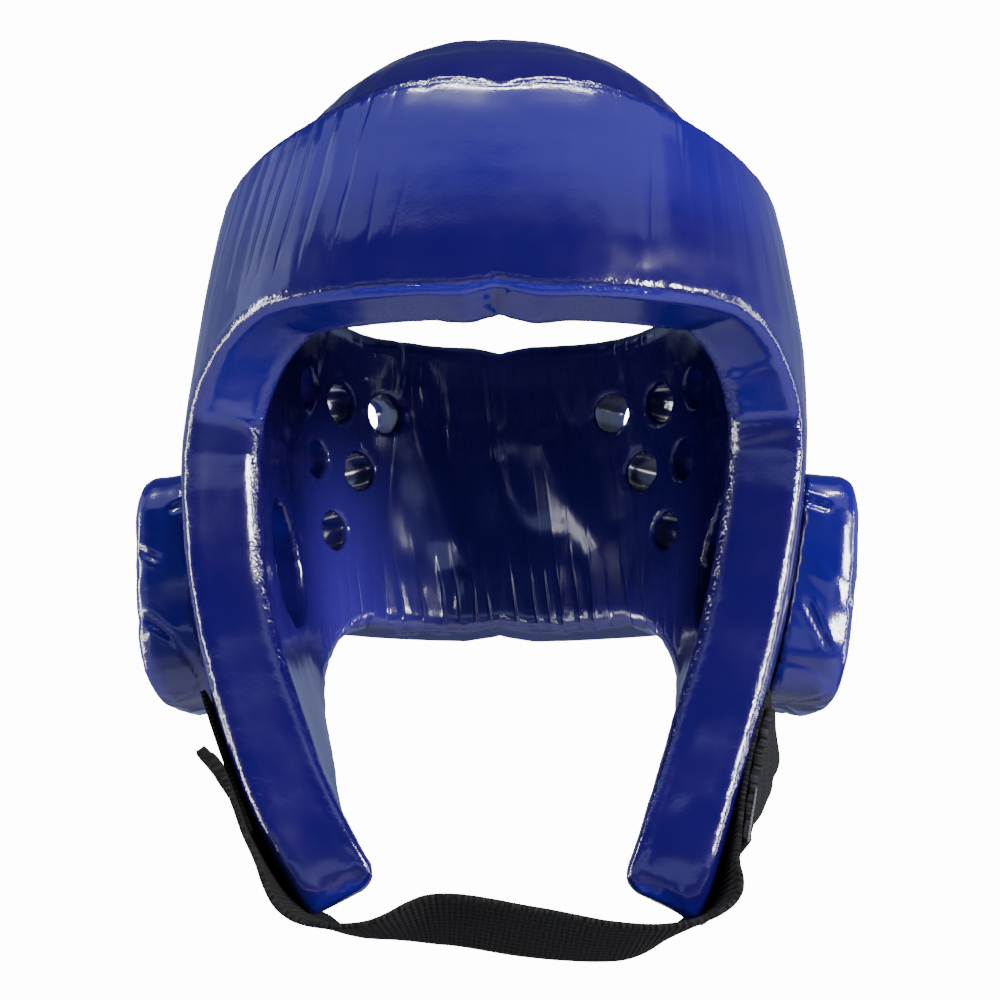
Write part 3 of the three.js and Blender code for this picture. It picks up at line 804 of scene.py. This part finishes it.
strap_line = strip_line("chin_strap", STRAP_THICK)
strap = band_piece(
    "chin_strap_band", strap_line, STRAP_THICK, 260, 20, strap_wave, strap_hem,
)
finish_piece(strap, "elastic_webbing", webbing, "chin_strap")

hook_line = strip_line("hook_patch", HOOK_THICK)
hook = band_piece("hook_tape_patch", hook_line, HOOK_THICK + HOOK_PILE, 60, 16, flat)
finish_piece(hook, "hook_tape", hook_tape, "hook_patch")

patch_places, _, _ = strip_line("loop_patch", LOOP_THICK)
strap_fine = [resample(part, 601) for part in strap_line]
loop_line = slipped_part(strap_fine, patch_places, LOOP_SLIP)
loop_line[0] = loop_line[0] + loop_line[2] * STRAP_THICK
loop = band_piece("loop_tape_patch", loop_line, LOOP_THICK, 90, 24, patch_wave)
finish_piece(loop, "loop_tape", loop_tape, "loop_patch")

for name, line, side, start, end, count, lift in (
    ("thread_patch_edge", loop_line, -1.0, 0.0, 0.34, 26, 1.0),
    ("thread_hem", strap_line, -0.95, 0.004, 0.05, 14, 2.6),
):
    row = stitches(name, line, side, start, end, count, lift)
    paint(row, thread)
    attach(row, "root")


# Floor, light and camera, in metres.

FLOOR_DROP = 0.55
FLOOR_REACH = 2.4
bm = bmesh.new()
bmesh.ops.create_grid(bm, x_segments=1, y_segments=1, size=FLOOR_REACH)
bmesh.ops.translate(bm, verts=bm.verts, vec=(0, 0, -FLOOR_DROP))
floor = linked("floor", bm)
floor_paint, _, _ = new_material("pale floor", Base_Color=(0.37, 0.37, 0.38, 1), Roughness=0.7)
floor.data.materials.append(floor_paint)

SKY = (0.78, 0.93, 1.5)
WHITE = (1, 1, 1)
BACKDROP_GLOW = 14.0
ROOM_GLOW = 0.035
REAR_WALL_GLOW = 0.3
SIDE_WALL_GLOW = 0.26
HORIZON_GLOW = 0.5


def studio_world():
    """White behind the object, and for its gloss a dim room.

    The room has paler walls at the sides and the rear, and in front a pale band at the horizon.
    """
    world = bpy.data.worlds.new("studio")
    world.use_nodes = True
    tree = world.node_tree
    tree.nodes.clear()
    ray = node(tree, "ShaderNodeTexCoord").outputs["Generated"]
    way = node(tree, "ShaderNodeSeparateXYZ", {"Vector": ray})

    def fade(value, low, high, start, end):
        return node(tree, "ShaderNodeMapRange", {
            "Value": value, "From Min": low, "From Max": high, "To Min": start, "To Max": end,
        }, interpolation_type="SMOOTHSTEP").outputs[0]

    sideways = math_node(tree, "ABSOLUTE", way.outputs["X"])
    rear_wall = fade(way.outputs["Y"], -0.3, 0.6, 0, REAR_WALL_GLOW)
    side_walls = fade(sideways, 0.5, 0.95, 0, SIDE_WALL_GLOW)
    walls = math_node(tree, "ADD", rear_wall, side_walls)
    walls = math_node(tree, "MULTIPLY", walls, fade(way.outputs["Z"], 0.25, 0.75, 1, 0.15))
    band_foot = fade(way.outputs["Z"], -0.15, -0.12, 0, HORIZON_GLOW)
    band_head = fade(way.outputs["Z"], 0.05, 0.08, 1, 0)
    horizon = math_node(tree, "MULTIPLY", band_foot, band_head)
    horizon = math_node(tree, "MULTIPLY", horizon, fade(way.outputs["Y"], -0.75, -0.55, 1, 0))
    room = math_node(tree, "ADD", math_node(tree, "ADD", walls, horizon), ROOM_GLOW)
    seen = node(tree, "ShaderNodeLightPath").outputs["Is Camera Ray"]
    strength = node(tree, "ShaderNodeMix", {
        "Factor": seen, "A": room, "B": BACKDROP_GLOW,
    }, data_type="FLOAT")
    glow = node(tree, "ShaderNodeBackground", {
        "Strength": strength.outputs[0], "Color": mix_colours(tree, seen, SKY, WHITE),
    })
    node(tree, "ShaderNodeOutputWorld", {"Surface": glow.outputs[0]})
    return world


bpy.context.scene.world = studio_world()

TARGET = (0, 0, -0.12)


def soft_light(name, place, size, radiance, target=TARGET, cone=180, color=WHITE):
    """An area light that looks equally bright at any size. cone is in degrees."""
    data = bpy.data.lights.new(name, "AREA")
    data.shape = "RECTANGLE"
    data.size, data.size_y = size
    data.energy = radiance * math.pi * size[0] * size[1]
    data.spread = math.radians(cone)
    data.color = color
    lamp = bpy.data.objects.new(name, data)
    bpy.context.scene.collection.objects.link(lamp)
    lamp.location = place
    aim = Vector(target) - Vector(place)
    lamp.rotation_euler = aim.to_track_quat("-Z", "Y").to_euler()


soft_light("ceiling panel", (-0.1, -0.8, 1.1), (2.6, 1.3), 0.55, (-0.1, -0.79, 0), color=SKY)
soft_light("left panel", (-1.7, 0.1, 0.9), (1.3, 0.8), 0.7, color=SKY)
soft_light("left strip", (-1.45, -0.35, 0.05), (0.15, 0.9), 12, cone=100)
soft_light("low left strip", (-1.1, -0.1, -0.36), (1.5, 0.13), 9, cone=120)
soft_light("right strip", (1.5, -0.3, 0.05), (0.1, 0.9), 9, cone=100)
soft_light("low right strip", (1.1, 0.0, -0.36), (1.2, 0.07), 7, cone=120)
soft_light("low right card", (0.8, -0.9, 0.03), (0.36, 0.46), 18, cone=100)
soft_light("top strip", (0, -0.5, 1.1), (0.8, 0.11), 8, cone=60)

# The camera was solved from the photo's perspective.
CAMERA_PLACE = (0, -493, -166)  # millimetres from the brow edge
CAMERA_PITCH = 12  # degrees up
FOCAL_LENGTH = 1838 / 1000  # in image widths
SENSOR_WIDTH = 36

lens = bpy.data.cameras.new("camera")
lens.sensor_width = SENSOR_WIDTH
lens.lens = FOCAL_LENGTH * SENSOR_WIDTH
camera = bpy.data.objects.new("camera", lens)
bpy.context.scene.collection.objects.link(camera)
camera.location = (Vector(CAMERA_PLACE) - Vector(BROW)) * MM
camera.rotation_euler = (math.radians(90 + CAMERA_PITCH), 0, 0)
bpy.context.scene.camera = camera
